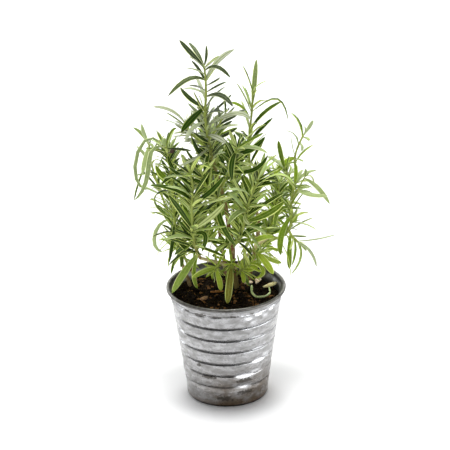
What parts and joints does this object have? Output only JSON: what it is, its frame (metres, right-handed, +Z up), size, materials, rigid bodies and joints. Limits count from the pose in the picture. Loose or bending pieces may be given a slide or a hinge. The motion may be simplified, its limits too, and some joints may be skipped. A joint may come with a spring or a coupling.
{
  "type": "potted rosemary",
  "caption": "Young rosemary with leafy upright shoots on woody stems, standing in compost in a ribbed, tapered galvanised steel pot with a rolled rim.",
  "frame": {"origin": "centre of the pot's flat underside, on the surface that it stands on", "axes": "+Z up along the pot's axis, -Y towards the plant's front, +X to the right seen from the front"},
  "size_m": [0.1676, 0.1174, 0.3203],
  "materials": {
    "galvanised_steel": "mottled zinc, satin with bright streaks on the ribs",
    "compost": "dark moist potting compost, crumbly",
    "woody_stem": "thin rough brown bark",
    "rosemary_green": "leathery green leaves with pale rolled margins and yellow-green young stems",
    "dry_litter": "dry papery bits of leaf and bark"
  },
  "bodies": {
    "root": {"pot": "galvanised_steel", "pot_base": "galvanised_steel", "soil": "compost", "wood_front": "woody_stem", "wood_back": "woody_stem", "wood_side": "woody_stem", "wood_far": "woody_stem", "wood_rear": "woody_stem", "shoot_top": "rosemary_green", "shoot_inner_right": "rosemary_green", "shoot_mid_right": "rosemary_green", "shoot_inner_left": "rosemary_green", "shoot_front": "rosemary_green", "shoot_trunk": "rosemary_green", "shoot_low_left": "rosemary_green", "shoot_low_right": "rosemary_green", "shoot_low_mid": "rosemary_green", "shoot_left": "rosemary_green", "shoot_right": "rosemary_green", "shoot_back": "rosemary_green", "shoot_side": "rosemary_green", "shoot_far": "rosemary_green", "shoot_rear": "rosemary_green", "shoot_rear_left": "rosemary_green", "shoot_rear_mid": "rosemary_green", "shoot_rear_right": "rosemary_green", "litter_dry_leaf": "dry_litter", "litter_petal": "dry_litter", "litter_husk": "dry_litter", "litter_stalk": "rosemary_green", "litter_twig": "woody_stem", "litter_bark": "woody_stem"}
  },
  "joints": []
}
